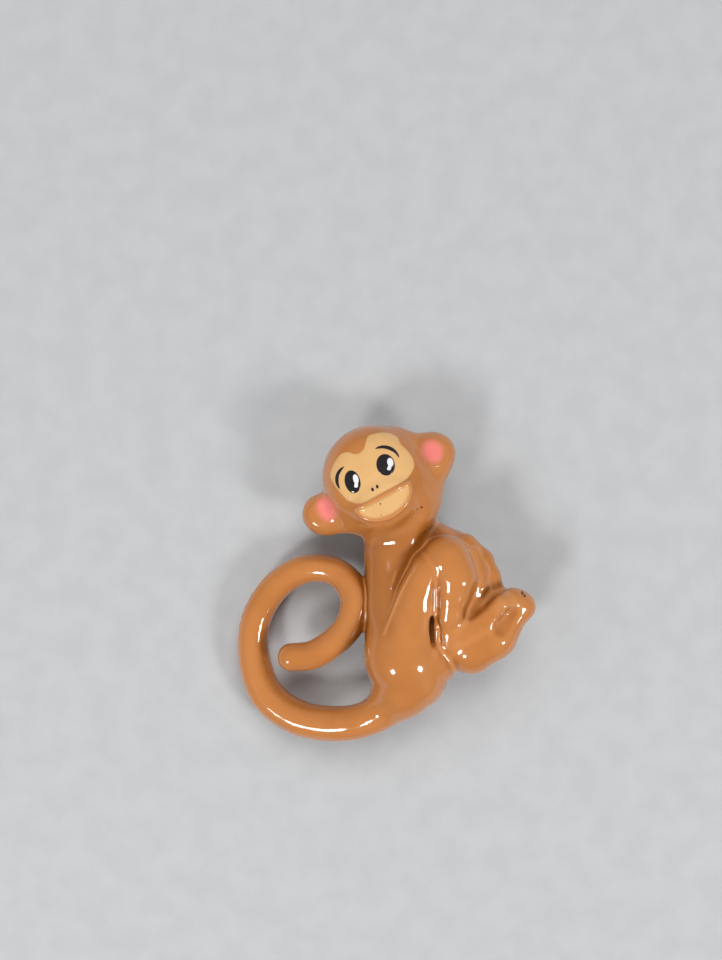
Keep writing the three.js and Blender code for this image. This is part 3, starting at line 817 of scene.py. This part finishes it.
def oval(centre, radii, turn=0.0, steps=64):
    a = np.linspace(0, 2 * math.pi, steps, endpoint=False)
    u, v = radii[0] * np.cos(a), radii[1] * np.sin(a)
    c, s = math.cos(turn), math.sin(turn)
    return np.column_stack([centre[0] + c * u - s * v, centre[1] + s * u + c * v])


def comma(centre, radii, turn, tail, tail_radius):
    """A glint: an oval that runs into a smaller round at one side, as seen from the oval's centre."""
    c, s = math.cos(turn), math.sin(turn)
    angles = np.linspace(0, 2 * math.pi, 72, endpoint=False)
    rays = np.column_stack([np.cos(angles), np.sin(angles)])
    reach = np.zeros(len(angles))
    for _ in range(60):
        place = rays * reach[:, None]
        local = np.column_stack([c * place[:, 0] + s * place[:, 1], -s * place[:, 0] + c * place[:, 1]])
        size = np.linalg.norm(local / radii, axis=1)
        main = (size - 1) * min(radii)
        tip = np.linalg.norm(place - (np.array(tail) - centre), axis=1) - tail_radius
        reach = reach + 0.5 * np.maximum(-smooth_min(main, tip, 0.12), 0)
    return centre + rays * reach[:, None]


MASK = [
    (1.75, 4.65),
    (3.45, 4.1),
    (4.4, 3.1),
    (4.4, 2.1),
    (4.75, 0.9),
    (4.8, -0.3),
    (4.3, -1.1),
    (3.1, -1.75),
    (2.0, -1.85),
    (0.0, -1.85),
    (-2.3, -1.85),
    (-3.4, -1.4),
    (-4.0, -0.7),
    (-4.3, 0.4),
    (-4.5, 1.6),
    (-4.4, 2.7),
    (-3.5, 3.6),
    (-2.3, 4.25),
    (-1.45, 4.15),
    (-0.9, 3.65),
    (-0.35, 3.4),
    (0.4, 3.6),
    (1.0, 4.2),
]
EAR_PADS = {"right": ((7.3, -0.35), (1.75, 1.85), 0.0), "left": ((-6.6, -0.5), (1.6, 2.0), -0.1)}
LID_TURN = math.radians(-14)
FACE_SIDES = {
    "right": {
        "eye": ((1.7, 0.8), (1.03, 1.22)),
        "glint": ((2.28, 0.8), (0.34, 0.5), (1.85, 0.3), 0.25),
        "brow": ((1.5, 1.0), 1.93, -4, 88),
        "nostril": (-0.27, -0.92),
    },
    "left": {
        "eye": ((-2.45, 0.86), (0.87, 1.3)),
        "glint": ((-1.98, 0.95), (0.3, 0.55), (-2.3, 0.32), 0.25),
        "brow": ((-2.4, 1.1), 1.7, 94, 188),
        "nostril": (-0.88, -0.96),
    },
}
EYE_LIFT, GLINT_LIFT, PAD_LIFT, NOSTRIL_LIFT = 0.07, 0.04, 0.05, 0.02
MASK_EDGE, FILL_EDGE, EYE_EDGE, DOT_EDGE = 0.22, 0.12, 0.3, 0.1  # width of each pad's rounded rim
EAR_FADE = 1.15  # width over which the pink runs into the brown
BROW_WIDTH, BROW_BULGE = 0.42, 0.05
NOSTRIL_RADII = (0.15, 0.22)


def brow(name, node, centre, radius, start, end):
    """A painted stroke along an arc, tapering to its ends."""
    steps, across = 40, 9
    angles = np.radians(np.linspace(start, end, steps + 1))
    share = np.linspace(0, 1, steps + 1)
    half = BROW_WIDTH / 2 * np.sqrt(np.clip(np.sin(math.pi * np.clip(share, 0.02, 0.98)), 0, 1))
    grid = []
    for side in np.linspace(-1, 1, across):
        out = radius + side * half
        grid.append(np.column_stack([centre[0] + out * np.cos(angles), centre[1] + out * np.sin(angles)]))
    uv = np.concatenate(grid)
    surface, normals = settle(uv)
    bulge = np.repeat(1 - np.linspace(-1, 1, across) ** 2, steps + 1)
    top = surface + normals * (PAD_LIFT + BROW_BULGE * np.sqrt(bulge))[:, None]
    under = surface - normals * UNDERSIDE
    points = np.concatenate([top, under])
    row, half_count = steps + 1, len(top)
    faces = []
    for i in range(across - 1):
        for j in range(steps):
            a = i * row + j
            faces.append((a, a + row, a + row + 1, a + 1))
            faces.append((half_count + a, half_count + a + 1, half_count + a + row + 1, half_count + a + row))
    border = [*range(row)]
    border += [i * row + steps for i in range(1, across)]
    border += [(across - 1) * row + j for j in range(steps - 1, -1, -1)]
    border += [i * row for i in range(across - 2, 0, -1)]
    for a, b in zip(border, border[1:] + border[:1]):
        faces.append((a, b, half_count + b, half_count + a))
    made = mesh_object(name, points, faces)
    made.data.materials.append(BLACK)
    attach(made, "brooch")
    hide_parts(node)


def build_face():
    beige, pink = (BEIGE, "beige_enamel"), (PINK, "pink_enamel")
    black, white = (BLACK, "black_enamel"), (WHITE, "white_enamel")
    drape("mask", "face_enamel", spline(MASK, 6), (0.2, 1.0), PAD_LIFT, MASK_EDGE, *beige)
    middle = np.array([MOUTH_U, MOUTH_V - 0.45 * MOUTH_RADII[1]])
    fill = middle + (mouth_outline(28) - middle) * MUZZLE_FILL_SHARE
    drape("muzzle", "muzzle_enamel", fill[::-1], middle, PAD_LIFT, FILL_EDGE, *beige)
    for side, (centre, radii, turn) in EAR_PADS.items():
        outline = oval(centre, radii, turn)
        drape(f"ear_pad_{side}", f"ear_enamel_{side}", outline, centre, PAD_LIFT, EAR_FADE, *pink)
    for side, places in FACE_SIDES.items():
        centre, radii = places["eye"]
        outline = oval(centre, radii, LID_TURN)
        names = f"painted_eye_{side}", f"eye_{side}"
        drape(*names, outline, centre, EYE_LIFT, EYE_EDGE, *black, base=PAD_LIFT)
        centre, radii, tail, tail_radius = places["glint"]
        outline = comma(np.array(centre), np.array(radii), LID_TURN, tail, tail_radius)
        names = f"painted_glint_{side}", f"eye_glint_{side}"
        drape(*names, outline, centre, GLINT_LIFT, DOT_EDGE, *white, base=PAD_LIFT + EYE_LIFT)
        brow(f"painted_brow_{side}", f"brow_{side}", *places["brow"])
        centre = places["nostril"]
        outline = oval(centre, NOSTRIL_RADII, LID_TURN, 32)
        names = f"painted_nostril_{side}", f"nostril_{side}"
        drape(*names, outline, centre, NOSTRIL_LIFT, DOT_EDGE, *black, base=PAD_LIFT)


build_face()

# ------------------------------------------------------------------ the pin back

BAR_TOP, BAR_BOTTOM, BAR_HALF, BAR_EDGE = 3.8, 3.2, 1.6, 0.09
BAR_START, BAR_END = HINGE_X - 1.3, CATCH_X + 0.6
CHANNEL_HALF, CHANNEL_DEPTH, CHANNEL_MARGIN = 0.9, 0.12, 1.9  # the pressed channel along the bar
RIVET_SHANK, RIVET_HOLE = 0.45, 0.5
PIVOT_SHANK, PIVOT_HOLE = 0.42, 0.47
EAR_INNER, EAR_OUTER, EAR_RADIUS = 0.75, 1.15, 1.5  # the bracket's two ears, from the pin's line
RING_HALF, RING_RADIUS, RING_BORE = 0.6, 1.5, 1.0  # the catch's housing
THROUGH = 3  # more than any of these pieces is thick


def bar_field(p):
    low = (BAR_START + BAR_HALF, PIN_Y - BAR_HALF, BAR_BOTTOM)
    straight = block(p, low, (BAR_END, PIN_Y + BAR_HALF, BAR_TOP), BAR_EDGE)
    round_end = rod(p, 2, (BAR_START + BAR_HALF, PIN_Y, 0), BAR_HALF, BAR_BOTTOM, BAR_TOP, BAR_EDGE)
    bar = np.minimum(straight, round_end)
    for x in RIVETS.values():
        bar = smooth_max(bar, -rod(p, 2, (x, PIN_Y, 0), RIVET_HOLE, BAR_BOTTOM - 1, BAR_TOP + 1, 0.02), 0.08)
    low = (BAR_START + CHANNEL_MARGIN, PIN_Y - CHANNEL_HALF, BAR_BOTTOM - 1)
    high = (BAR_END - CHANNEL_MARGIN, PIN_Y + CHANNEL_HALF, BAR_BOTTOM + CHANNEL_DEPTH)
    return smooth_max(bar, -block(p, low, high, 0.1), 0.12)


def rivet_field(x):
    """The field of a rivet at a place along the bar."""

    def field(p):
        head = ellipsoid(p, ((x, PIN_Y, 3.14), (0.92, 0.92, 0.36)))
        head = smooth_max(head, p[:, 2] - 3.15, 0.05)
        shank = rod(p, 2, (x, PIN_Y, 0), RIVET_SHANK, 3.0, 5.15, 0.05)
        return smooth_min(head, shank, 0.06)

    return field


def pivot_hole(p):
    return rod(p, 1, HINGE, PIVOT_HOLE, PIN_Y - THROUGH, PIN_Y + THROUGH, 0.01)


def bracket_field(p):
    base = block(p, (HINGE_X - 1.3, PIN_Y - EAR_OUTER, 2.85), (HINGE_X + 1.3, PIN_Y + EAR_OUTER, 3.15), 0.08)
    for side in (-1, 1):
        low, high = sorted((PIN_Y + side * EAR_INNER, PIN_Y + side * EAR_OUTER))
        round_ear = rod(p, 1, HINGE, EAR_RADIUS, low, high, 0.07)
        upright = block(p, (HINGE_X - 1.2, low, PIN_Z), (HINGE_X + 1.2, high, 3.1), 0.07)
        ear = smooth_max(smooth_min(round_ear, upright, 0.1), p[:, 2] - 3.1, 0.05)
        base = smooth_min(base, ear, 0.12)
    return smooth_max(base, -pivot_hole(p), 0.07)


def hinge_rivet_field(p):
    shank = rod(p, 1, HINGE, PIVOT_SHANK, PIN_Y - 1.4, PIN_Y + 1.4, 0.02)
    for side in (-1, 1):
        head = ellipsoid(p, ((HINGE_X, PIN_Y + side * 1.2, PIN_Z), (0.75, 0.27, 0.75)))
        head = smooth_max(head, 1.2 - side * (p[:, 1] - PIN_Y), 0.04)
        shank = smooth_min(shank, head, 0.05)
    return shank


def stem_field(p):
    """The pin wire with its point, and the coil round the rivet, scored between its turns."""
    eye = rod(p, 1, HINGE, 1.1, PIN_Y - 0.7, PIN_Y + 0.7, 0.12)
    wire = limb(p, (HINGE_X + 0.8, PIN_Y, PIN_Z, 0.36), (TIP_X - 2.2, PIN_Y, PIN_Z, 0.34))
    point = limb(p, (TIP_X - 2.2, PIN_Y, PIN_Z, 0.34), (TIP_X - 0.06, PIN_Y, PIN_Z, 0.05))
    stem = smooth_min(np.minimum(wire, point), eye, 0.5)
    coil_line = np.abs(np.abs(p[:, 1] - PIN_Y) - 0.25) - 0.03
    near_eye = np.hypot(p[:, 0] - HINGE_X, p[:, 2] - PIN_Z) - 1.12
    stem = smooth_max(stem, -np.maximum(coil_line, np.abs(near_eye) - 0.08), 0.06)
    return smooth_max(stem, -pivot_hole(p), 0.08)


def slot_field(p, width, start, end):
    """A slot from the catch's axis outwards, pointing down at rest."""
    half = width / 2
    round_end = rod(p, 0, CATCH, half, start, end, 0.01)
    return np.minimum(round_end, block(p, (start, PIN_Y - half, -2), (end, PIN_Y + half, PIN_Z), 0.01))


def housing_field(p):
    start, end = CATCH_X - RING_HALF, CATCH_X + RING_HALF
    ring = rod(p, 0, CATCH, RING_RADIUS, start, end, 0.08)
    foot = block(p, (start, PIN_Y - 1.0, PIN_Z), (end, PIN_Y + 1.0, BAR_BOTTOM - 0.05), 0.06)
    housing = smooth_min(ring, foot, 0.25)
    housing = smooth_max(housing, p[:, 2] - (BAR_BOTTOM - 0.05), 0.04)
    housing = smooth_max(housing, -rod(p, 0, CATCH, RING_BORE, start - 1, end + 1, 0.01), 0.08)
    return smooth_max(housing, -slot_field(p, 0.95, start - 1, end + 1), 0.08)


def rotor_field(p):
    """The drum inside the housing, its two flanges and its knurled thumb lever, which slants down at rest."""
    start, end = CATCH_X - RING_HALF - 0.05, CATCH_X + RING_HALF + 0.05
    drum = rod(p, 0, CATCH, RING_BORE - 0.07, start - 0.2, end + 0.2, 0.02)
    flanges = np.minimum(
        rod(p, 0, CATCH, 1.3, start - 0.4, start, 0.07),
        rod(p, 0, CATCH, 1.3, end, end + 0.4, 0.07),
    )
    rotor = smooth_min(drum, flanges, 0.04)
    drop = math.radians(30)
    dy, dz = p[:, 1] - PIN_Y, p[:, 2] - PIN_Z
    out = dy * math.cos(drop) - dz * math.sin(drop)
    across = dy * math.sin(drop) + dz * math.cos(drop)
    lever_place = np.column_stack([p[:, 0], out, across])
    lever = block(lever_place, (end, 0.3, -0.3), (end + 0.4, 2.2, 0.3), 0.12)
    knurl = 0.03 * np.cos(out * 2 * math.pi / 0.28) * (out > 1.3)
    rotor = smooth_min(rotor, lever + knurl, 0.15)
    return smooth_max(rotor, -slot_field(p, 0.9, start - 2, end + 2), 0.07)


def metal_piece(name, node, field, low, high, pitch, body):
    made = sculpt(name, field, low, high, pitch)[0]
    made.data.materials.append(NICKEL)
    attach(made, body)
    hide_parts(node)


def build_pin_back():
    y0, y1 = PIN_Y - BAR_HALF, PIN_Y + BAR_HALF
    metal_piece("back_bar", "pin_bar", bar_field, (BAR_START, y0, 3.15), (BAR_END, y1, 3.85), 0.08, "brooch")
    for name, x in RIVETS.items():
        metal_piece(f"{name}_head", name, rivet_field(x), (x - 1, y0, 2.7), (x + 1, y1, 5.2), 0.06, "brooch")
    low, high = (HINGE_X - 1.6, y0, 0), (HINGE_X + 1.6, y1, 3.2)
    metal_piece("hinge_base", "hinge_bracket", bracket_field, low, high, 0.05, "brooch")
    metal_piece("hinge_pivot", "hinge_rivet", hinge_rivet_field, low, high, 0.05, "brooch")
    metal_piece("pin_wire", "pin_stem", stem_field, (HINGE_X - 1.2, y0, 0.3), (TIP_X, y1, 2.7), 0.05, "pin")
    low, high = (CATCH_X - 1.2, y0, 0), (CATCH_X + 1.2, y1 + 0.9, 3.2)
    metal_piece("catch_ring", "catch_housing", housing_field, low, high, 0.05, "brooch")
    metal_piece("catch_lever", "catch_rotor", rotor_field, low, high, 0.05, "rotor")


build_pin_back()

# ------------------------------------------------------------------ camera, floor and light

CAMERA_PLACE = (-2.93, 12.31, 120.0)
FOCAL_SHARE = 962.5 / 960  # focal length over the picture's long side


def build_camera():
    data = bpy.data.cameras.new("camera")
    data.sensor_width = 36
    data.lens = 36 * FOCAL_SHARE
    data.clip_start, data.clip_end = 0.005, 20
    camera = bpy.data.objects.new("camera", data)
    camera.location = Vector(to_row([CAMERA_PLACE])[0])
    bpy.context.scene.collection.objects.link(camera)
    bpy.context.scene.camera = camera


def build_floor():
    around, radius = 96, 3000 * MM
    angles = np.linspace(0, 2 * math.pi, around, endpoint=False)
    ring = [(radius * math.cos(a), radius * math.sin(a), 0) for a in angles]
    mesh = bpy.data.meshes.new("floor")
    mesh.from_pydata(ring, [], [list(range(around))])
    floor = bpy.data.objects.new("floor", mesh)
    floor.location.z = -0.01 * MM
    bpy.context.scene.collection.objects.link(floor)
    material, tree, shader = node_material("floor")
    position = position_of(tree)
    tone = remap(tree, noise(tree, position, 300, 4), 0.3, 0.7, 0, 1)
    tree.links.new(blend_colour(tree, tone, FLOOR_LIGHT, FLOOR_DARK), shader.inputs["Base Color"])
    shader.inputs["Roughness"].default_value = 0.7
    mesh.materials.append(material)


def soft_light(name, direction, distance, size, power, mirrored=True):
    """A round studio light; one that is not mirrored only brightens, and leaves no highlight on the gloss."""
    data = bpy.data.lights.new(name, "AREA")
    data.shape = "DISK"
    data.size = size * MM
    data.energy = power
    light = bpy.data.objects.new(name, data)
    light.visible_glossy = mirrored
    way = Vector(direction).normalized()
    light.location = Vector(to_row([(0, 0, 6)])[0]) + way * distance * MM
    light.rotation_euler = way.to_track_quat("Z", "Y").to_euler()
    bpy.context.scene.collection.objects.link(light)


def build_light():
    world = bpy.data.worlds.new("studio")
    world.use_nodes = True
    world.node_tree.nodes["Background"].inputs["Color"].default_value = (0.93, 0.96, 1.0, 1)
    world.node_tree.nodes["Background"].inputs["Strength"].default_value = 0.24
    bpy.context.scene.world = world
    soft_light("key_right", (0.95, -0.55, 0.85), 420, 100, 0.7)
    soft_light("key_left", (-0.75, -0.8, 1.05), 420, 100, 0.7)
    soft_light("fill_left", (-1.0, 0.1, 0.7), 450, 260, 0.3, mirrored=False)
    soft_light("fill_top", (0.1, 0.7, 1.0), 600, 420, 1.95, mirrored=False)
    bpy.context.scene.view_settings.view_transform = "Standard"


build_camera()
build_floor()
build_light()
